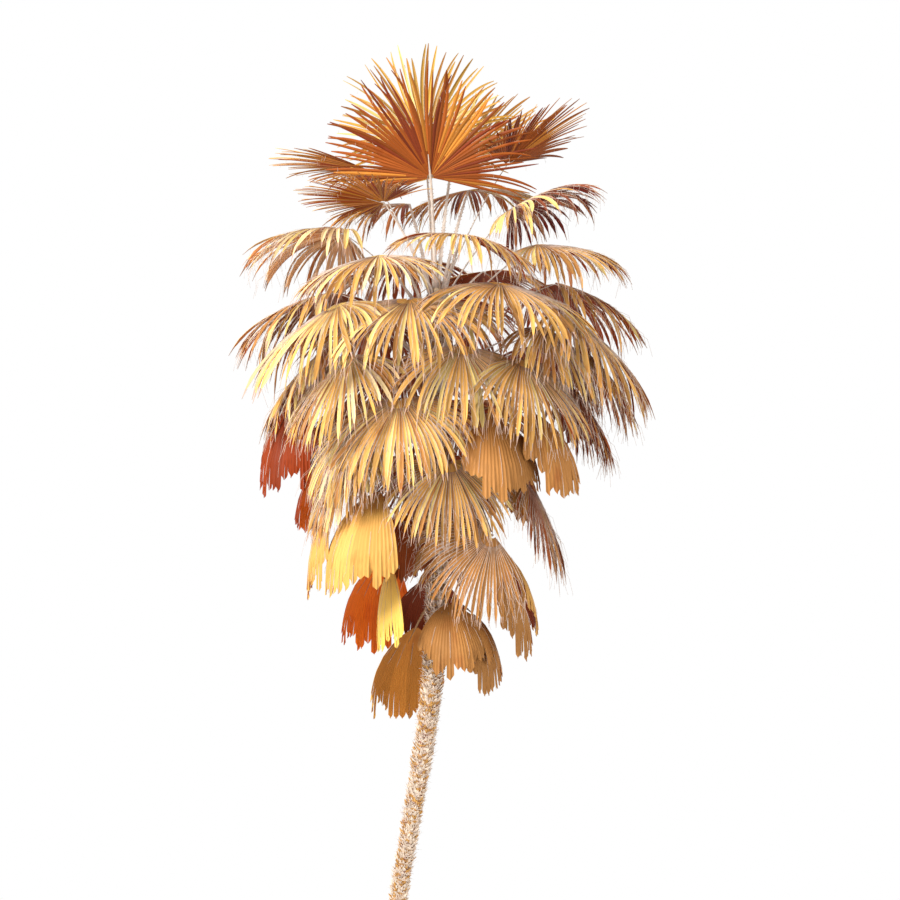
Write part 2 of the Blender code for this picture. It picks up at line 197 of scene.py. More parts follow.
# Every frond, youngest first: name, kind, tone of its leaflets and, as in the solids, azimuth about
# the trunk, reach of the hub from the trunk's axis, height of the hub, pitch of the blade at the
# hub, size, and where there is one the swing of the blade off the azimuth and its roll.
FRONDS = (
    ("spear_fan", "upright", "amber", 152, 0.14, 9.62, 82, 0.94, -50),
    ("front_fan", "upright", "rust", -100, 0.34, 9.22, 60, 1.05),
    ("back_fan", "upright", "amber", 66, 0.38, 9.36, 55, 1.1),
    ("left_fan", "upright", "amber", -156, 0.62, 8.96, 12, 0.8, 0, 8),
    ("right_high_fan", "upright", "rust", 3, 0.78, 9.42, 36, 0.88, 0, -18),
    ("left_high_fan", "upright", "amber", 171, 0.74, 9.36, 10, 0.9, 0, 8),
    ("right_fan", "arching", "wine", -10, 0.84, 8.9, 28, 0.92, 0, 2),
    ("back_low_fan", "arching", "amber", 60, 0.72, 9.22, 12, 0.9),
    ("back_left_fan", "arching", "amber", 118, 0.66, 9.06, 8, 0.9),
    ("arch_left", "arching", "bone", 176, 1.02, 8.66, 0, 1.06, 0, 10),
    ("arch_front", "arching", "gold", -72, 0.9, 8.52, -2, 0.85, 0, -9),
    ("arch_back_right", "arching", "gold", 58, 1.0, 8.32, -10, 0.88, 0, -4),
    ("arch_right", "arching", "gold", -16, 1.14, 8.5, -3, 0.94, 0, 7),
    ("arch_front_left", "arching", "straw", -130, 0.94, 8.34, -14, 0.92),
    ("arch_back_left", "arching", "gold", 114, 1.0, 8.46, -8, 0.95, 0, -6),
    ("bend_left", "arching", "straw", 160, 1.22, 8.04, -14, 1.2),
    ("bend_front_right", "arching", "gold", -50, 1.06, 8.04, -16, 1.12),
    ("bend_back_right", "arching", "gold", 18, 1.4, 8.14, -18, 1.08),
    ("bend_front", "arching", "gold", -106, 0.98, 7.86, -24, 1.08),
    ("bend_back", "arching", "gold", 88, 1.12, 8.02, -22, 1.02),
    ("bend_front_left", "arching", "straw", -152, 1.18, 7.84, -30, 1.18),
    ("bend_right", "drooping", "gold", -28, 1.32, 7.58, -36, 1.0),
    ("bend_back_left", "arching", "gold", 126, 1.18, 7.8, -28, 1.02),
    ("droop_right", "arching", "gold", -12, 1.54, 7.7, -38, 1.18),
    ("droop_front", "drooping", "gold", -74, 1.0, 7.36, -36, 1.1),
    ("droop_back_right", "drooping", "gold", 30, 1.34, 7.46, -36, 1.04),
    ("droop_left", "drooping", "straw", 174, 1.28, 7.36, -42, 1.12),
    ("droop_front_left", "drooping", "straw", -144, 1.14, 7.28, -44, 1.14),
    ("droop_back", "drooping", "gold", 110, 1.16, 7.34, -38, 1.06),
    ("droop_front_right", "drooping", "gold", -42, 1.22, 7.24, -42, 1.14),
    ("droop_far_right", "drooping", "gold", 8, 1.64, 7.4, -44, 1.06),
    ("hang_right", "drooping", "umber", 8, 1.46, 7.02, -50, 1.06),
    ("hang_front", "drooping", "gold", -112, 1.0, 6.82, -48, 1.08),
    ("hang_back_right", "drooping", "gold", 74, 1.12, 6.85, -50, 1.04),
    ("hang_back_left", "drooping", "gold", 142, 1.14, 6.82, -52, 1.0),
    ("hang_front_left", "drooping", "straw", -140, 1.08, 6.6, -56, 1.0),
    ("skirt_right_back", "folded", "gold", 22, 1.62, 7.02, -50, 1.0),
    ("skirt_left_back", "folded", "ember", 166, 1.58, 6.86, -44, 1.12, 60),
    ("skirt_front_right", "folded", "tan", -56, 0.98, 6.66, -24, 1.04),
    ("skirt_right", "folded", "tan", -32, 1.16, 6.7, -24, 1.08),
    ("low_front", "drooping", "gold", -80, 0.86, 6.16, -60, 0.94),
    ("low_left", "drooping", "straw", -154, 1.02, 6.28, -58, 0.98),
    ("low_back", "drooping", "gold", 96, 0.96, 6.2, -60, 1.04),
    ("low_right", "drooping", "umber", -10, 1.04, 5.94, -62, 1.06),
    ("low_back_right", "folded", "amber", 46, 1.0, 6.3, -36, 1.0),
    ("low_back_left", "folded", "ember", 160, 1.3, 6.22, -44, 0.92),
    ("skirt_front_left", "folded", "pale", -136, 0.84, 5.84, -26, 1.24),
    ("skirt_left", "folded", "pale", -172, 1.14, 5.82, -58, 1.12),
    ("skirt_low_right", "drooping", "tan", -56, 1.08, 5.38, -30, 0.93, -124, -78),
    ("skirt_back", "folded", "umber", 84, 0.7, 5.66, -36, 1.0),
    ("skirt_right_low_back", "folded", "gold", 20, 0.74, 5.2, -40, 1.05),
    ("skirt_left_low_back", "folded", "ember", 134, 0.8, 5.08, -40, 1.16),
    ("skirt_inner_front", "folded", "umber", -128, 0.42, 5.6, -62, 0.76),
    # This dead fan takes the lemon tone, whose painted light makes it look lit although it faces away from
    # the key light.
    ("tail_front_left", "folded", "lemon", -140, 0.64, 5.04, -76, 0.9, -20),
    ("tail_right", "folded", "tan", -16, 0.74, 5.02, -50, 1.0),
    ("tail_front", "folded", "tan", -68, 0.34, 4.62, -26, 0.86),
    ("tail_back", "folded", "umber", 98, 0.4, 4.86, -40, 0.9),
    ("tail_low_right", "folded", "tan", -28, 0.44, 4.5, -50, 0.86),
    ("tail_left", "folded", "amber", 126, 0.38, 4.3, -44, 1.12),
)

# Tones in three shades each, which shades a dead fan's ribs may have, and the place of the tips'
# tone after them.
TONES = ("rust", "amber", "wine", "gold", "straw", "bone", "pale", "lemon", "tan", "umber", "ember")
SHADES = (1.15, 0.94, 0.68)
DEAD_SHADES = (0, 1, 1)
TIP_TONE = len(TONES) * len(SHADES)

# Tones dealt out to the leaflets of a living fan, each from the row near the hub where it turns. A
# dead fan keeps to its own tone.
TURN_ROWS = (0, 1, 1, 2)
MIXES = {
    "rust": ("rust", "rust", "amber", "rust", "umber", "rust", "rust"),
    "amber": ("amber", "gold", "amber", "rust", "straw"),
    "wine": ("wine", "gold", "wine", "wine", "straw"),
    "gold": ("gold", "gold", "straw", "gold", "gold", "tan", "gold"),
    "straw": ("straw", "pale", "gold", "straw", "bone", "tan"),
    "bone": ("bone", "bone", "straw"),
    "tan": ("tan",),
    "umber": ("umber", "tan", "umber"),
}


def colour(name, description, default):
    """A colour property."""
    return FloatVectorProperty(
        name=name, description=description, subtype="COLOR", size=3, min=0, max=1, default=default
    )


def amount(name, description, default, unit="NONE"):
    """A number property."""
    return FloatProperty(name=name, description=description, unit=unit, min=0, precision=4, default=default)


def length(name, description, default):
    """A length property."""
    return amount(name, description, default, "LENGTH")


def whole(name, description, default):
    """A property that counts."""
    return IntProperty(name=name, description=description, min=0, default=default)


class PALM_leaflet_settings(PropertyGroup):
    """Sizes of the leaflets and their threads."""

    thickness: length("Thickness", "Thickness of a leaflet", 0.0030)
    limpness: amount("Limpness", "How far neighbouring leaflets differ in their droop", 0.4)
    broken: amount("Broken", "Share of leaflets that hang broken", 0.12)
    torn: amount("Torn ends", "Depth of the teeth along a dead fan's end, of its length", 0.075)
    curl: length("Curl", "How far the leaflets of a dead fan curl off its surface", 0.030)
    thread_radius: length("Thread radius", "Radius of the threads on the leaflets' edges", 0.0026)
    thread_drop: length("Thread drop", "How far a loose thread end hangs down", 0.20)


class PALM_leaf_colours(PropertyGroup):
    """Colour of the top and of the underside of the leaflets of each tone. The undersides are redder, as the
    leaflets are, and darker with painted shade for the side turned from the light; ember is the other way
    round.
    """

    rust_upper: colour("Rust, upper", "Youngest leaflets", (0.46, 0.2, 0.04))
    rust_under: colour("Rust, under", "Youngest leaflets", (0.29, 0.07, 0.011))
    amber_upper: colour("Amber, upper", "Sunlit young leaflets", (0.6, 0.33, 0.06))
    amber_under: colour("Amber, under", "Sunlit young leaflets", (0.5, 0.185, 0.026))
    wine_upper: colour("Wine, upper", "Shaded young leaflets", (0.26, 0.07, 0.03))
    wine_under: colour("Wine, under", "Shaded young leaflets", (0.15, 0.018, 0.01))
    gold_upper: colour("Gold, upper", "Open leaflets", (0.7, 0.375, 0.1))
    gold_under: colour("Gold, under", "Open leaflets", (0.3, 0.055, 0.014))
    straw_upper: colour("Straw, upper", "Bleached leaflets", (0.84, 0.59, 0.2))
    straw_under: colour("Straw, under", "Bleached leaflets", (0.55, 0.21, 0.075))
    bone_upper: colour("Bone, upper", "Most bleached leaflets", (0.82, 0.6, 0.3))
    bone_under: colour("Bone, under", "Most bleached leaflets", (0.74, 0.44, 0.24))
    pale_upper: colour("Pale, upper", "Palest dead fans", (0.67, 0.355, 0.085))
    pale_under: colour("Pale, under", "Palest dead fans", (0.44, 0.1, 0.012))
    # Lemon: a pale tone painted lighter, painted light for a dead fan that faces away from the key light, so
    # that it looks lit.
    lemon_upper: colour("Lemon, upper", "Brightest dead fans", (0.93, 0.59, 0.12))
    lemon_under: colour("Lemon, under", "Brightest dead fans", (0.5, 0.16, 0.012))
    tan_upper: colour("Tan, upper", "Withered leaflets", (0.42, 0.185, 0.05))
    tan_under: colour("Tan, under", "Withered leaflets", (0.25, 0.07, 0.025))
    umber_upper: colour("Umber, upper", "Shaded brown leaflets", (0.3, 0.08, 0.02))
    umber_under: colour("Umber, under", "Shaded brown leaflets", (0.19, 0.034, 0.01))
    # Ember: the top is painted darker, as painted shade against the key light on it, and the underside is
    # painted lighter, as painted light against the shade under it, so both sides come out alike.
    ember_upper: colour("Ember, upper", "Red dead fans", (0.22, 0.03, 0.004))
    ember_under: colour("Ember, under", "Red dead fans", (0.85, 0.17, 0.012))
    tip: colour("Tips", "Withered tips of the leaflets", (0.5, 0.33, 0.24))
    thread: colour("Threads", "Threads on the leaflets' edges", (0.66, 0.52, 0.43))


class PALM_stalk_settings(PropertyGroup):
    """Sizes and colours of the leaf stalks."""

    sheath_width: length("Sheath width", "Half width of the base that clasps the trunk", 0.044)
    thorn_length: length("Thorn length", "Length of the thorns on the stalk's edges", 0.020)
    thorn_pitch: length("Thorn pitch", "Distance between thorns along an edge", 0.055)
    fresh: colour("Fresh stalks", "Stalks of the upper fans", (0.6, 0.5, 0.42))
    dry: colour("Dry stalks", "Stalks of the hanging fans", (0.36, 0.2, 0.09))
    thorn: colour("Thorns", "Thorns on the stalks", (0.45, 0.24, 0.08))


class PALM_bark_settings(PropertyGroup):
    """Sizes and colours of the trunk's bark, old leaf bases and fibres."""

    relief: length("Relief", "Depth of the cracks in the bark", 0.009)
    core_depth: length("Core depth", "How far the bark lies inside the leaf bases", 0.020)
    bases_per_metre: whole("Leaf bases", "Old leaf bases to a metre of trunk", 330)
    base_width: length("Base width", "Width of an old leaf base", 0.062)
    base_height: length("Base height", "Height of an old leaf base", 0.048)
    base_reach: length("Base reach", "How far an old leaf base stands out", 0.044)
    fibres_per_metre: whole("Fibres", "Loose fibres to a metre of trunk", 700)
    fibre_length: length("Fibre length", "Length of a loose fibre", 0.085)
    bark: colour("Bark", "Bark between the leaf bases", (0.16, 0.085, 0.06))
    cream: colour("Bleached base", "Bleached leaf bases", (0.78, 0.64, 0.5))
    ochre: colour("Ochre base", "Ochre leaf bases", (0.6, 0.33, 0.1))
    brown: colour("Brown base", "Shaded leaf bases", (0.34, 0.17, 0.12))
    fibre: colour("Fibres", "Loose fibres", (0.78, 0.68, 0.62))


class PALM_stage_settings(PropertyGroup):
    """The floor, the lights and the camera."""

    floor_radius: length("Floor radius", "Radius of the round floor", 5.2)
    floor: colour("Floor", "Colour of the floor", (0.86, 0.86, 0.86))
    sky: colour("Surroundings", "Colour of the light all round", (1, 1, 1))
    sky_strength: amount("Strength", "Strength of the light all round", 1.0)
    key_power: amount("Key power", "Power of the main light", 2800, "POWER")
    fill_power: amount("Fill power", "Power of the light at the right", 250, "POWER")
    camera_across: length("Camera across", "The camera's distance to the right of the trunk's foot", 0.671)
    camera_height: length("Camera height", "Height of the camera", 6.27)
    camera_distance: length("Camera distance", "Distance of the camera from the trunk", 20.0)
    lens: amount("Lens", "Focal length of the camera, in millimetres", 72.7)


def smooth_step(share):
    """Eased share of a span, held between 0 and 1."""
    share = min(1.0, max(0.0, share))
    return share * share * (3 - 2 * share)


def trunk_axis(height):
    """Point of the trunk's leaning axis at a height."""
    return Vector((LEAN * smooth_step((height - LEAN_START) / (LEAN_END - LEAN_START)), 0, height))


def trunk_radius(height):
    """Flared at the ground, thicker where the old leaf bases cling, narrowing to the bud."""
    clad = smooth_step((height - CLAD_FROM) / (CLAD_TO - CLAD_FROM))
    radius = SHAFT_RADIUS + (CLAD_RADIUS - SHAFT_RADIUS) * clad
    radius += FLARE * math.exp(-height / FLARE_HEIGHT)
    bud = smooth_step((height - BUD_START) / (TRUNK_TOP - BUD_START))
    return radius + (BUD_RADIUS - radius) * bud


def direction(azimuth, pitch):
    """Unit vector at a compass azimuth, counted from +X, and a pitch above the horizon."""
    turn, rise = math.radians(azimuth), math.radians(pitch)
    return Vector((math.cos(turn) * math.cos(rise), math.sin(turn) * math.cos(rise), math.sin(rise)))


class Frond:
    """The places and paths of one frond, by the rule of its solid."""

    def __init__(self, rank, name, kind, tone, azimuth, reach, height, pitch, size, swing=0, roll=0):
        self.kind = kind
        self.tone = tone
        self.azimuth = azimuth
        self.shape = KINDS[kind]
        self.age = rank / (len(FRONDS) - 1)
        self.length = self.shape["length"] * size
        self.hub = trunk_axis(height) + direction(azimuth, 0) * reach
        self.forward = direction(azimuth + swing, pitch)
        level = direction(azimuth + swing + 90, 0)
        tilt = math.radians(roll)
        self.side = level * math.cos(tilt) + self.forward.cross(level) * math.sin(tilt)
        self.up = self.forward.cross(self.side)
        self.seat_height = HIGHEST_SEAT - (HIGHEST_SEAT - LOWEST_SEAT) * self.age ** SEAT_CROWDING
        self.count = self.shape["ribs"] * self.shape["leaflets"]
        self.dice = random.Random(name)
        self.solid = BVHTree.FromObject(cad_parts[name], bpy.context.evaluated_depsgraph_get())
        self.paths = {}

    def stalk_points(self):
        """From inside the trunk to the hub on one smooth curve."""
        start = trunk_axis(self.seat_height)
        start += direction(self.azimuth, 0) * trunk_radius(self.seat_height) * SEAT_DEPTH
        middle = start.lerp(self.hub, 0.5) - GRAVITY * STALK_ARCH * (self.hub - start).length
        points = []
        for step in range(STALK_STEPS):
            share = step / (STALK_STEPS - 1)
            first = start.lerp(middle, share)
            points.append(first.lerp(middle.lerp(self.hub, share), share))
        return points

    def step_length(self, angle):
        """Length of one step of a leaflet's path."""
        return self.length * (1 - SIDE_SHORTER * (angle / self.shape["spread"]) ** 2) / PATH_STEPS

    def leaflet_path(self, angle):
        """Points along the leaflet at an angle off the rib; it sags towards the ground."""
        if angle in self.paths:
            return self.paths[angle]
        shape = self.shape
        turn = math.radians(angle)
        heading = self.forward * math.cos(turn) + self.side * math.sin(turn)
        lift = math.radians(shape["cup"]) * abs(angle) / shape["spread"]
        heading = (heading + self.up * math.tan(lift)).normalized()
        step = self.step_length(angle)
        points = [self.hub.copy()]
        for index in range(PATH_STEPS):
            limp = LIMP_AT_HUB + LIMP_GAIN * index / PATH_STEPS
            heading = (heading + GRAVITY * shape["sag"] * limp * step).normalized()
            points.append(points[-1] + heading * step)
        self.paths[angle] = points
        return points

    def along(self, angle, share):
        """Point at a share of the length of the leaflet at an angle."""
        path = self.leaflet_path(angle)
        place = min(share * PATH_STEPS, PATH_STEPS - 1e-6)
        index = int(place)
        return path[index].lerp(path[index + 1], place - index)

    def rib_of(self, number):
        """The rib of the solid's fan that a leaflet belongs to."""
        return number * self.shape["ribs"] // self.count

    def edge_angle(self, number):
        """Angle of the edge before a leaflet, counted from the fan's left edge to its right."""
        return self.shape["spread"] * (1 - 2 * number / self.count)

    def is_near(self, angle, share, distance):
        """Whether a place along the leaflet at an angle lies near the frond's solid."""
        return self.solid.find_nearest(self.along(angle, share), distance)[0] is not None

    def room(self, number):
        """Share of its length that a leaflet may use, as short or missing as in the solid."""
        joined, near = self.shape["joined"], self.shape["near"]
        angle = self.edge_angle(number + 0.5)
        if not self.is_near(angle, joined, BLADE_NEAR):
            return 0
        share = 1.0
        while share > joined and not self.is_near(angle, share, near):
            share -= SHARE_STEP
        return share


def free_breadth(shape, share):
    """Breadth at a share of a leaflet's free part: it swells, narrows at the end of its body and
    runs out in a withered wisp."""
    body = shape["body"]
    full = (1 + shape["swell"] * min(share, body)) * (1 - shape["taper"] * min(1, share / body) ** 2)
    thin = shape["wisp"] * (1 - WISP_NARROWS * max(0, share - body) / (1 - body))
    return full + (thin - full) * smooth_step((share - body) / WISP_SHARE)


def sheet_row(frond, angles, share, slant=0.0, lift=0.0):
    """Left edge, fold line and right edge of a leaflet that lies in the surface of its fan."""
    shares = (share - slant / 2, share, share + slant / 2)
    first, centre, last = (frond.along(angle, place) for angle, place in zip(angles, shares))
    across = last - first
    step = SHARE_STEP / 2
    heading = frond.along(angles[1], share + step) - frond.along(angles[1], share - step)
    down = across.cross(heading).normalized()
    sink = down * across.length * frond.shape["pleat"] * PLEAT_SCALE
    half = across / 2
    centre -= down * lift
    return centre - half, centre - sink, centre + half


def leaflet_rows(frond, number, end, settings):
    """Left edge, fold line and right edge of a leaflet, row by row from the hub to its tip."""
    shape, dice = frond.shape, frond.dice
    split = min(shape["split"], end - SHARE_STEP)
    angles = [frond.edge_angle(number + part) for part in (0, 0.5, 1)]
    start = HUB_RING / frond.length
    rows = []
    for row in range(JOINED_ROWS + 1):
        share = start + (split - start) * row / JOINED_ROWS
        rows.append(sheet_row(frond, angles, share))
    if frond.kind == "folded":
        lift = dice.uniform(0, settings.curl)
        tooth = settings.torn * dice.uniform(*TEETH)
        slant = tooth if number % 2 == 0 else -tooth
        for row in range(1, FREE_ROWS + 1):
            share = row / FREE_ROWS
            reach = split + (end - tooth / 2 - split) * share
            rows.append(sheet_row(frond, angles, reach, slant * share ** 4, lift * share))
        return rows
    first, centre, last = rows[-1][0], frond.along(angles[1], split), rows[-1][2]
    across = last - first
    heading = (centre - frond.along(angles[1], split - HEADING_STEP)).normalized()
    width = across.length
    across.normalize()
    step = (end - split) * PATH_STEPS * frond.step_length(angles[1]) / FREE_ROWS
    limpness = 1 + settings.limpness * dice.uniform(-1, 1)
    if dice.random() < settings.broken:
        limpness *= BROKEN_DROOP
    sway = dice.gauss(0, SWAY)
    slim = dice.uniform(*SLIMNESS)
    twist = math.radians(dice.gauss(0, shape["twist"] / 2))
    for row in range(1, FREE_ROWS + 1):
        share = row / FREE_ROWS
        limp = LIMP_AT_HUB + LIMP_GAIN * (split + (end - split) * share)
        sag = shape["sag"] * limp * limpness * (1 + shape["droop"] * share)
        heading = (heading + (GRAVITY * sag + across * sway) * step).normalized()
        centre = centre + heading * step
        across = (across - heading * across.dot(heading)).normalized()
        up = across.cross(heading)
        turn = twist * share
        flat = across * math.cos(turn) + up * math.sin(turn)
        rise = flat.cross(heading)
        slimmer = 1 + (slim - 1) * min(1, share / SLIM_WITHIN)
        breadth = width * slimmer * free_breadth(shape, share)
        half = flat * breadth / 2
        rows.append((centre - half, centre - rise * breadth * shape["pleat"] * PLEAT_SCALE, centre + half))
    return rows


def thread_points(frond, rows, edge, settings):
    """A thread along a leaflet's edge that comes loose on its way to the tip and hangs down."""
    dice = frond.dice
    loose = JOINED_ROWS + dice.choice(LOOSE_ROWS)
    points = []
    for row in (1, JOINED_ROWS - 1, JOINED_ROWS, (JOINED_ROWS + loose) // 2, loose):
        left, fold, right = rows[row]
        rise = (left + right) / 2 - fold
        points.append(rows[row][edge] + rise.normalized() * THREAD_LIFT)
    heading = rows[loose][edge] - rows[loose - 1][edge]
    drop = settings.thread_drop * dice.uniform(*DROPS)
    if not frond.shape["withered"]:
        drop *= FRESH_THREAD
    drift = Vector((dice.uniform(-1, 1), dice.uniform(-1, 1), 0)) * drop * THREAD_DRIFT
    points.append(points[-1] + heading.normalized() * drop * THREAD_RUN + drift)
    points.append(points[-1] + GRAVITY * drop + drift)
    return points


def leaflet_tones(frond, numbers):
    """Materials of the joined and the free part of each leaflet, and the row where it turns."""
    dice = frond.dice
    mix = (frond.tone,) if frond.kind == "folded" else MIXES[frond.tone]
    rib_shades = [dice.choice(DEAD_SHADES) for _ in range(frond.shape["ribs"])]
    tones = {}
    for number in numbers:
        shade = dice.randrange(len(SHADES))
        if frond.kind == "folded":
            shade = rib_shades[frond.rib_of(number)]
        joined = TONES.index(frond.tone) * len(SHADES) + shade
        free = TONES.index(dice.choice(mix)) * len(SHADES) + shade
        tones[number] = (joined, free, dice.choice(TURN_ROWS))
    return tones


def threaded_edges(frond, number):
    """The edge of each thread of a leaflet, 0 the left and 2 the right."""
    if frond.shape["withered"]:
        return (0, 2, 0, 2)
    return (2,) if frond.kind == "upright" or number % LEAFLETS_PER_THREAD == 0 else ()


def grow_leaflets(frond, settings, threads):
    """The rows of every leaflet that has room, by its number; its threads are added to threads."""
    shape, dice = frond.shape, frond.dice
    least = shape["joined"] + SHARE_STEP
    leaflets = {}
    shorter = 0
    for number in range(frond.count):
        end = frond.room(number)
        if frond.kind != "folded" or number % 2 == 0:
            shorter = dice.uniform(0, shape["uneven"])
        if end > least:
            end -= shape["ragged"] * RAGGED_RIBS[frond.rib_of(number) % len(RAGGED_RIBS)] + shorter
            rows = leaflet_rows(frond, number, max(end, least), settings)
            leaflets[number] = rows
            threads += [thread_points(frond, rows, edge, settings) for edge in threaded_edges(frond, number)]
    return leaflets


def add_fan(shape, frond, settings, threads):
    """One fan: a grid with two columns to a leaflet, parted along the edges beyond the joined rows."""
    count, rows = frond.count, JOINED_ROWS + FREE_ROWS
    made = bmesh.ops.create_grid(shape, x_segments=2 * count, y_segments=rows, size=1, calc_uvs=True)["verts"]

    def spot_of(vert):
        return round((vert.co.x + 1) * count), round((vert.co.y + 1) / 2 * rows)

    spots = {vert: spot_of(vert) for vert in made}
    faces = {face: face.calc_center_median() for vert in made for face in vert.link_faces}
    parted = [
        edge
        for vert, (column, row) in spots.items()
        if column % 2 == 0 and 0 < column < 2 * count and row >= JOINED_ROWS
        for edge in vert.link_edges
        if spots[edge.other_vert(vert)] == (column, row + 1)
    ]
    bmesh.ops.split_edges(shape, edges=parted)
    leaflets = grow_leaflets(frond, settings, threads)
    tones = leaflet_tones(frond, leaflets)
    lost, places = [], {}
    for face, middle in faces.items():
        number = int((middle.x + 1) / 2 * count)
        if number not in leaflets:
            lost.append(face)
            continue
        for vert in face.verts:
            column, row = spot_of(vert)
            places[vert] = leaflets[number][row][column - 2 * number]
        joined, free, turn = tones[number]
        along = (middle.y + 1) / 2 * rows
        withered = along > rows - TIP_ROWS and frond.shape["withered"]
        face.material_index = TIP_TONE if withered else joined if along < turn else free
        face.smooth = True
    for vert, place in places.items():
        vert.co = place
    bmesh.ops.delete(shape, geom=lost, context="FACES")


def link_object(name, data):
    """A new object in the scene."""
    made = bpy.data.objects.new(name, data)
    bpy.context.scene.collection.objects.link(made)
    return made


def add_object(name, shape, materials):
    """An object with materials from a bmesh, which goes."""
    mesh = bpy.data.meshes.new(name)
    shape.to_mesh(mesh)
    shape.free()
    for material in materials:
        mesh.materials.append(material)
    return link_object(name, mesh)


def add_piece(name, shape, materials, nodes=()):
    """An object from a bmesh that rides on the palm and stands for solids."""
    made = add_object(name, shape, materials)
    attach(made, BODY)
    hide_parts(*nodes)
    return made


def add_strands(name, strands, radii, material):
    """Thin square-sided strands through points, thinning to their ends, as one piece."""
    curve = bpy.data.curves.new(name, "CURVE")
    curve.dimensions = "3D"
    curve.bevel_depth = 1.0
    curve.bevel_resolution = 0
    curve.use_fill_caps = True
    for points in strands:
        spline = curve.splines.new("POLY")
        spline.points.add(len(points) - 1)
        for index, (spot, place) in enumerate(zip(spline.points, points)):
            spot.co = (*place, 1)
            spot.radius = radii[0] + (radii[1] - radii[0]) * index / (len(points) - 1)
    holder = link_object(name, curve)
    graph = bpy.context.evaluated_depsgraph_get()
    mesh = bpy.data.meshes.new_from_object(holder.evaluated_get(graph))
    bpy.data.objects.remove(holder)
    shape = bmesh.new()
    shape.from_mesh(mesh)
    bmesh.ops.remove_doubles(shape, verts=shape.verts, dist=MERGE_DISTANCE)
    bpy.data.meshes.remove(mesh)
    add_piece(name, shape, [material])


def add_node(tree, kind, output, inputs, **settings):
    """A shader node with values or sockets as inputs; returns one of its outputs."""
    node = tree.nodes.new(kind)
    for name, value in settings.items():
        setattr(node, name, value)
    for name, value in inputs.items():
        if isinstance(value, bpy.types.NodeSocket):
            tree.links.new(value, node.inputs[name])
        else:
            node.inputs[name].default_value = value
    return node.outputs[output]


def noise_factor(tree, source, scale, stretch, detail):
    """Noise over a coordinate that is stretched first."""
    placed = add_node(tree, "ShaderNodeMapping", "Vector", {"Vector": source, "Scale": stretch})
    return add_node(tree, "ShaderNodeTexNoise", "Fac", {"Vector": placed, "Scale": scale, "Detail": detail})


def eased_mix(tree, factor, low, high, first, second):
    """A colour that goes from the first to the second as the factor passes from low to high."""
    span = {"Value": factor, "From Min": low, "From Max": high}
    share = add_node(tree, "ShaderNodeMapRange", "Result", span, interpolation_type="SMOOTHSTEP")
    return add_node(tree, "ShaderNodeMix", 2, {0: share, 6: first, 7: second}, data_type="RGBA")


def scaled(base, factor):
    """An opaque colour made lighter or darker."""
    return (*(min(1.0, channel * factor) for channel in base[:3]), 1)


def plant_material(name, base, roughness, bump, stretch, patch_scale, coordinate="Object"):
    """Fibres along the surface and weathered patches over one base colour, made once."""
    made = bpy.data.materials.get(name)
    if made:
        return made
    made = bpy.data.materials.new(name)
    made.use_nodes = True
    tree = made.node_tree
    shader = tree.nodes["Principled BSDF"]
    shader.inputs["Roughness"].default_value = roughness
    shader.inputs["Specular IOR Level"].default_value = 0.12
    where = tree.nodes.new("ShaderNodeTexCoord").outputs
    fibres = noise_factor(tree, where[coordinate], 1.0, stretch, 2.0)
    patches = noise_factor(tree, where["Object"], patch_scale, (1, 1, 0.6), 3.0)
    streaked = eased_mix(tree, fibres, 0.35, 0.65, scaled(base, 0.80), scaled(base, 1.10))
    aged = (base[0] * 0.74, base[1] * 0.58, base[2] * 0.52, 1)
    tree.links.new(eased_mix(tree, patches, 0.56, 0.78, streaked, aged), shader.inputs["Base Color"])
    relief = {"Strength": 0.5, "Distance": bump, "Height": fibres}
    tree.links.new(add_node(tree, "ShaderNodeBump", "Normal", relief), shader.inputs["Normal"])
    return made


def leaf_materials(colours):
    """Dry leaf with fine fibres down each leaflet: the upper tones in their shades and the tips, then
    the undersides in the same order, which carry painted shade, and painted light for ember."""
    made = []
    # The tips' underside is the tips' colour dimmed to 0.7, which is painted shade.
    for side, tip_painted_shade in (("upper", 1.0), ("under", 0.7)):
        looks = [
            (f"{tone}_{side}_{index}", scaled(getattr(colours, f"{tone}_{side}"), shade))
            for tone in TONES
            for index, shade in enumerate(SHADES)
        ]
        looks.append((f"tip_{side}", scaled(colours.tip, tip_painted_shade)))
        made += [plant_material(name, base, 0.52, 0.0012, (420, 5, 1), 3.2, "UV") for name, base in looks]
    return made


def add_fans(kind, scene):
    """All fans of one kind as one piece of leaflets, and its threads as another."""
    settings = scene.palm_leaflets
    shape = bmesh.new()
    shape.loops.layers.uv.verify()
    threads = []
    for rank, row in enumerate(FRONDS):
        if row[1] == kind:
            frond = Frond(rank, *row)
            add_fan(shape, frond, settings, threads)
    for edge in shape.edges:
        edge.smooth = not edge.is_boundary and edge.calc_face_angle(0) < SHARP_ANGLE
    materials = leaf_materials(scene.palm_colours)
    nodes = [row[0] for row in FRONDS if row[1] == kind]
    made = add_piece(f"{kind}_leaflets", shape, materials, nodes)
    thicken = made.modifiers.new("thickness", "SOLIDIFY")
    thicken.thickness = settings.thickness
    thicken.offset = -1
    # The thickened copy below the leaflets takes the underside colours, with their painted shade.
    thicken.material_offset = len(materials) // 2
    thread = plant_material("thread", scene.palm_colours.thread, 0.7, 0.0005, (30, 30, 30), 6.0)
    radii = (settings.thread_radius, settings.thread_radius / 2)
    add_strands(f"{kind}_threads", threads, radii, thread)


def smooth_sides(shape):
    """Faces turned outwards, with smooth sides and flat caps."""
    bmesh.ops.recalc_face_normals(shape, faces=shape.faces)
    for face in shape.faces:
        face.smooth = len(face.verts) == 4


def stalk_profile():
    """A stalk's outline: round below and hollowed above, in half widths and half heights."""
    outline = []
    for index in range(STALK_SIDES):
        turn = math.tau * index / STALK_SIDES
        lift = math.sin(turn)
        outline.append((math.cos(turn), lift if lift <= 0.1 else 0.35 - 0.5 * lift))
    return outline


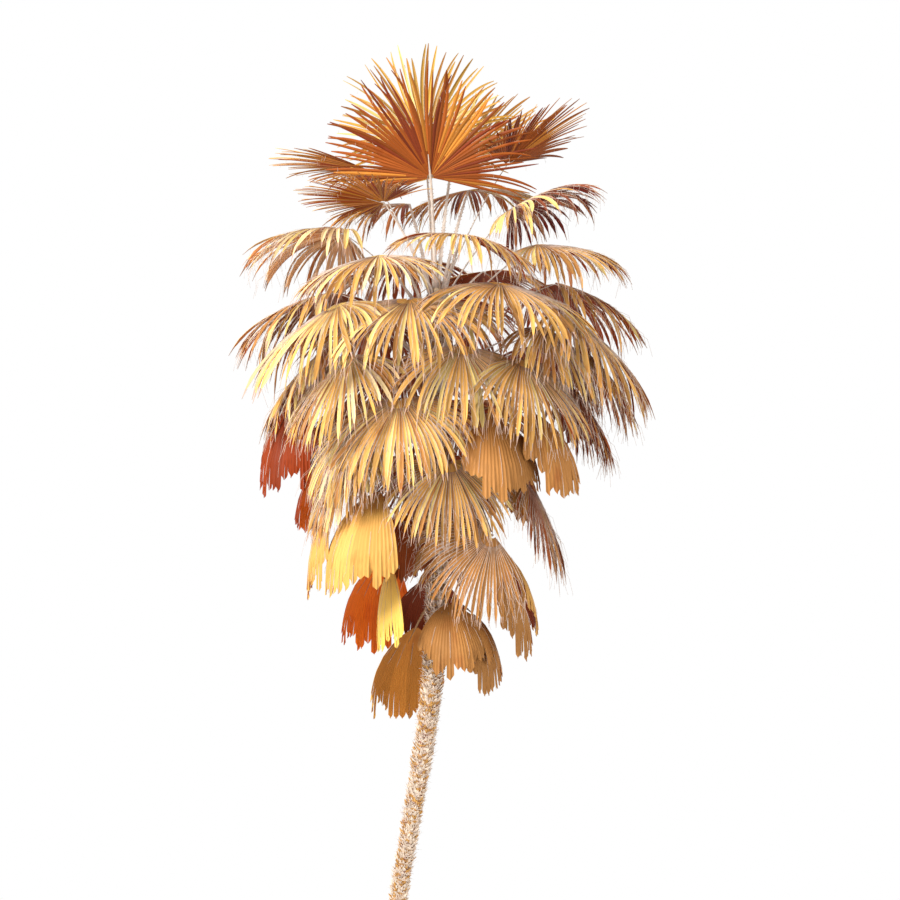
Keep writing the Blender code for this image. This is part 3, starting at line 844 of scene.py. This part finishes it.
def add_stalk(shape, frond, settings, thorns):
    """A stalk swept from its clasping base to the hub and on under the blade as its rib."""
    points = frond.stalk_points()
    reach = [frond.along(0, RIB_END * step / RIB_STEPS) for step in range(1, RIB_STEPS + 1)]
    hub_index = len(points) - 1
    points += [place - frond.up * STALK_TIP_RADIUS * RIB_DEPTH for place in reach]
    level = direction(frond.azimuth + 90, 0)
    outline = stalk_profile()
    ring, below = None, None
    for index, place in enumerate(points):
        ahead = points[min(index + 1, len(points) - 1)] - points[max(index - 1, 0)]
        ahead.normalize()
        side = (level - ahead * level.dot(ahead)).normalized()
        up = ahead.cross(side)
        share = min(1.0, index / hub_index)
        half = STALK_ROOT_RADIUS + (STALK_TIP_RADIUS - STALK_ROOT_RADIUS) * share
        half += (settings.sheath_width - STALK_ROOT_RADIUS) * max(0.0, 1 - share / SHEATH_SHARE) ** 1.5
        half *= 1 - RIB_NARROWS * max(0, index - hub_index) / RIB_STEPS
        height = half * (SHEATH_FLATNESS + min(share, SHEATH_SHARE))
        spots = [place + side * u * half + up * v * height for u, v in outline]
        if ring is None:
            made = bmesh.ops.create_circle(shape, cap_ends=True, segments=STALK_SIDES, radius=1)["verts"]
            ring = list(made)
            ordered_edges = ring_edges(shape, ring)
        else:
            made = bmesh.ops.extrude_edge_only(shape, edges=ordered_edges)["geom"]
            fresh = {item for item in made if isinstance(item, bmesh.types.BMVert)}
            ring = [
                next(edge.other_vert(vert) for edge in vert.link_edges if edge.other_vert(vert) in fresh)
                for vert in ring
            ]
            ordered_edges = ring_edges(shape, ring)
        for vert, spot in zip(ring, spots):
            vert.co = spot
        if below is not None and 0 < index < hub_index:
            thorns += thorn_places(below, (place, side, half), ahead, settings, frond.dice)
        below = (place, side, half)
    bmesh.ops.contextual_create(shape, geom=ordered_edges)


def ring_edges(shape, ring):
    """The edges between neighbours in a closed ring of vertices."""
    return [shape.edges.get(pair) for pair in zip(ring, ring[1:] + ring[:1])]


def thorn_places(below, above, ahead, settings, dice):
    """Placed thorns on both edges of a stretch of stalk."""
    count = max(1, round((above[0] - below[0]).length / settings.thorn_pitch))
    made = []
    for number in range(count):
        share = (number + dice.uniform(0.2, 0.8)) / count
        place = below[0].lerp(above[0], share)
        side = below[1].lerp(above[1], share).normalized()
        half = below[2] + (above[2] - below[2]) * share
        for hand in (-1, 1):
            tip = (side * hand + ahead * dice.uniform(0.1, 0.5)).normalized()
            size = settings.thorn_length * dice.uniform(0.6, 1.1)
            base = place + side * hand * half * 0.85
            made.append([base, base + tip * size * 0.6, base + tip * size + ahead * size * 0.15])
    return made


def bark_lift(turn, height, settings):
    """How far the bark stands above its core: leaf scars run round it and cracks run down it."""
    around = Vector((math.cos(turn), math.sin(turn), 0))
    scars, cracks, lumps = (
        noise.noise(around * wide + Vector((0, 0, height * tall))) for wide, tall in (SCARS, CRACKS, LUMPS)
    )
    return settings.relief * (0.6 * scars - 1.1 * max(0.0, 0.35 - abs(cracks) * 2.4) + 0.7 * lumps)


def cladding(height):
    """Share of their full size that the leaf bases have: they are worn away near the ground."""
    return WORN_SHARE + (1 - WORN_SHARE) * smooth_step((height - WORN_FROM) / WORN_OVER)


def trunk_place(turn, height, lift):
    """Matrix of a spot on the trunk: X runs round it, Y points out and Z up along it."""
    out = Vector((math.cos(turn), math.sin(turn), 0))
    place = trunk_axis(height) + out * (trunk_radius(height) + lift)
    up = (trunk_axis(height + 0.05) - trunk_axis(height - 0.05)).normalized()
    around = out.cross(up).normalized() * -1
    out = up.cross(around) * -1
    turned = Matrix((around, out, up)).transposed().to_4x4()
    return Matrix.Translation(place) @ turned


def base_mesh(ragged):
    """An old leaf base 1 unit wide and tall: a thick scale that bows out and ends in torn points."""
    shape = bmesh.new()
    bmesh.ops.create_cube(shape, size=1, matrix=Matrix.Diagonal((1, 0.16, 1, 1)))
    for axis, cuts in ((0, 3), (2, 1)):
        edges = [edge for edge in shape.edges if abs(edge.verts[0].co[axis] - edge.verts[1].co[axis]) > 0.5]
        bmesh.ops.subdivide_edges(shape, edges=edges, cuts=cuts)
    for vert in shape.verts:
        across, rise = vert.co.x * 2, vert.co.z + 0.5
        vert.co.x *= 1 - 0.12 * rise
        vert.co.y += 0.75 * rise ** 1.8 - 0.30 * across ** 2
        if rise > 0.9:
            point = ragged[round((across + 1) * 2)]
            vert.co.z += point
            vert.co.y += point * 0.6
    for face in shape.faces:
        face.material_index = 1 if face.calc_center_median().z > 0.05 else 0
    mesh = bpy.data.meshes.new("base")
    shape.to_mesh(mesh)
    shape.free()
    return mesh


class PALM_OT_bark(Operator):
    """Make the trunk's bark, with leaf scars, cracks and a flat cut at the ground"""

    bl_idname = "palm.bark"
    bl_label = "Bark"

    def execute(self, context):
        settings = context.scene.palm_bark
        shape = bmesh.new()
        bmesh.ops.create_grid(shape, x_segments=BARK_COLUMNS, y_segments=BARK_ROWS, size=1)
        for vert in shape.verts:
            column = round((vert.co.x + 1) / 2 * BARK_COLUMNS) % BARK_COLUMNS
            turn = math.tau * column / BARK_COLUMNS
            height = TRUNK_TOP * (vert.co.y + 1) / 2
            lift = bark_lift(turn, height, settings) - settings.core_depth * cladding(height)
            spot = trunk_place(turn, height, lift).translation
            vert.co = (spot.x, spot.y, height)
        bmesh.ops.remove_doubles(shape, verts=shape.verts, dist=MERGE_DISTANCE)
        bmesh.ops.holes_fill(shape, edges=[edge for edge in shape.edges if edge.is_boundary], sides=0)
        smooth_sides(shape)
        bark = plant_material("bark", settings.bark, 0.9, 0.006, (40, 40, 9), 7.0)
        add_piece("trunk_bark", shape, [bark], ["trunk"])
        return {"FINISHED"}


class PALM_OT_leaf_bases(Operator):
    """Cover the trunk with split old leaf bases in a spiral, and with loose fibres"""

    bl_idname = "palm.leaf_bases"
    bl_label = "Leaf Bases and Fibres"

    def execute(self, context):
        settings = context.scene.palm_bark
        dice = random.Random("leaf bases")
        templates = [base_mesh(ragged) for ragged in TORN_ENDS]
        shape = bmesh.new()
        count = round(settings.bases_per_metre * CLAD_LENGTH)
        for number in range(count):
            height = BASES_FROM + BASES_OVER * number / count
            full = cladding(height)
            wide = settings.base_width * dice.uniform(0.75, 1.25)
            tall = settings.base_height * dice.uniform(0.75, 1.35) * (0.6 + 0.4 * full)
            out = settings.base_reach * dice.uniform(0.5, 1.3) * full
            tip = Matrix.Rotation(math.radians(dice.gauss(0, BASE_TILT)), 4, "Y")
            copy = dice.choice(templates).copy()
            copy.transform(
                trunk_place(number * GOLDEN_TURN, height, -settings.core_depth * full)
                @ tip @ Matrix.Diagonal((wide, out, tall, 1))
            )
            body, end = dice.choice(BASE_TONES)
            for face in copy.polygons:
                face.material_index = end if face.material_index else body
            shape.from_mesh(copy)
            bpy.data.meshes.remove(copy)
        for template in templates:
            bpy.data.meshes.remove(template)
        bmesh.ops.recalc_face_normals(shape, faces=shape.faces)
        materials = [
            plant_material(f"base_{name}", getattr(settings, name), 0.8, 0.003, (60, 60, 14), 14.0)
            for name in ("cream", "ochre", "brown")
        ]
        add_piece("leaf_bases", shape, materials)
        count = round(settings.fibres_per_metre * CLAD_LENGTH)
        strands = [self.fibre(dice, settings) for _ in range(count)]
        fibre = plant_material("fibre", settings.fibre, 0.8, 0.0005, (30, 30, 30), 9.0)
        add_strands("bark_fibres", strands, FIBRE_RADII, fibre)
        return {"FINISHED"}

    def fibre(self, dice, settings):
        """Points of one loose fibre that starts in the bark and sticks out askew."""
        height = dice.uniform(FIBRES_FROM, FIBRES_TO)
        full = cladding(height)
        spot = trunk_place(dice.uniform(0, math.tau), height, -settings.core_depth * full)
        reach = settings.fibre_length * dice.uniform(0.45, 1.0) * full
        askew, rise = dice.uniform(-1.3, 1.3), dice.uniform(-0.2, 0.7)
        out = dice.uniform(0.4, 0.8)
        ends = ((0, 0, 0), (askew * 0.4, out * 0.8, rise * 0.4), (askew, out, rise))
        return [spot @ (Vector(end) * reach) for end in ends]


class PALM_OT_stalks(Operator):
    """Make the leaf stalks, from their clasping bases to the ribs of the fans, with thorny edges"""

    bl_idname = "palm.stalks"
    bl_label = "Stalks and Thorns"

    def execute(self, context):
        settings = context.scene.palm_stalks
        fronds = [Frond(rank, *row) for rank, row in enumerate(FRONDS)]
        for name, base in (("fresh", settings.fresh), ("dry", settings.dry)):
            shape = bmesh.new()
            thorns = []
            for frond in fronds:
                if (frond.age < FRESH_AGE) == (name == "fresh"):
                    add_stalk(shape, frond, settings, thorns)
            smooth_sides(shape)
            material = plant_material(f"{name}_stalk", base, 0.45, 0.002, (50, 50, 12), 5.0)
            add_piece(f"{name}_stalks", shape, [material])
            horn = plant_material(f"{name}_thorn", settings.thorn, 0.4, 0.0005, (60, 60, 60), 9.0)
            add_strands(f"{name}_thorns", thorns, THORN_RADII, horn)
        return {"FINISHED"}


class PALM_OT_fans(Operator):
    """Make the living fans: stiff upright ones, arching ones and drooping ones, with their threads"""

    bl_idname = "palm.fans"
    bl_label = "Living Fans"

    def execute(self, context):
        for kind in ("upright", "arching", "drooping"):
            add_fans(kind, context.scene)
        return {"FINISHED"}


class PALM_OT_skirt(Operator):
    """Make the skirt of dead fans, folded down in pleats against the trunk"""

    bl_idname = "palm.skirt"
    bl_label = "Skirt of Dead Fans"

    def execute(self, context):
        add_fans("folded", context.scene)
        return {"FINISHED"}


def add_light(name, energy, size, place):
    """A square soft light aimed at the palm."""
    lamp = bpy.data.lights.new(name, "AREA")
    lamp.energy = energy
    lamp.size = size
    made = link_object(name, lamp)
    made.location = place
    made.rotation_euler = (Vector(LIT_POINT) - Vector(place)).to_track_quat("-Z", "Y").to_euler()


class PALM_OT_stage(Operator):
    """Make the floor, the soft lights and the camera"""

    bl_idname = "palm.stage"
    bl_label = "Stage"

    def execute(self, context):
        settings = context.scene.palm_stage
        shape = bmesh.new()
        bmesh.ops.create_circle(
            shape, cap_ends=True, segments=96, radius=settings.floor_radius,
            matrix=Matrix.Translation((0, 0, -0.002)),
        )
        floor = bpy.data.materials.new("floor")
        floor.use_nodes = True
        shader = floor.node_tree.nodes["Principled BSDF"]
        shader.inputs["Base Color"].default_value = (*settings.floor, 1)
        shader.inputs["Roughness"].default_value = 0.9
        made = add_object("floor", shape, [floor])

        world = bpy.data.worlds.new("studio")
        world.use_nodes = True
        surroundings = world.node_tree.nodes["Background"]
        surroundings.inputs["Color"].default_value = (*settings.sky, 1)
        surroundings.inputs["Strength"].default_value = settings.sky_strength
        context.scene.world = world
        context.scene.view_settings.view_transform = "Standard"
        add_light("key", settings.key_power, KEY_SIZE, KEY_PLACE)
        add_light("fill", settings.fill_power, FILL_SIZE, FILL_PLACE)

        lens = bpy.data.cameras.new("camera")
        lens.lens = settings.lens
        lens.sensor_width = 36
        lens.clip_end = 200
        camera = link_object("camera", lens)
        camera.location = (settings.camera_across, -settings.camera_distance, settings.camera_height)
        camera.rotation_euler = (math.radians(90), 0, 0)
        context.scene.camera = camera
        return {"FINISHED"}


class PALM_PT_panel(Panel):
    """Lists the pieces of the palm"""

    bl_idname = "PALM_PT_panel"
    bl_label = "Fan Palm"
    bl_space_type = "VIEW_3D"
    bl_region_type = "UI"
    bl_category = "Fan Palm"

    def draw(self, context):
        for operator in OPERATORS:
            self.layout.operator(operator.bl_idname)


OPERATORS = (PALM_OT_bark, PALM_OT_leaf_bases, PALM_OT_stalks, PALM_OT_fans, PALM_OT_skirt, PALM_OT_stage)
SETTINGS = {
    "palm_leaflets": PALM_leaflet_settings,
    "palm_colours": PALM_leaf_colours,
    "palm_stalks": PALM_stalk_settings,
    "palm_bark": PALM_bark_settings,
    "palm_stage": PALM_stage_settings,
}
CLASSES = (*SETTINGS.values(), *OPERATORS, PALM_PT_panel)


def register():
    """Add the settings, the operators and the panel."""
    for made in CLASSES:
        bpy.utils.register_class(made)
    for name, group in SETTINGS.items():
        setattr(bpy.types.Scene, name, PointerProperty(type=group))


def unregister():
    """Take the settings, the operators and the panel away."""
    for name in SETTINGS:
        delattr(bpy.types.Scene, name)
    for made in reversed(CLASSES):
        bpy.utils.unregister_class(made)


def main():
    register()
    bpy.ops.palm.bark()
    bpy.ops.palm.leaf_bases()
    bpy.ops.palm.stalks()
    bpy.ops.palm.fans()
    bpy.ops.palm.skirt()
    bpy.ops.palm.stage()


if __name__ == "__main__":
    main()
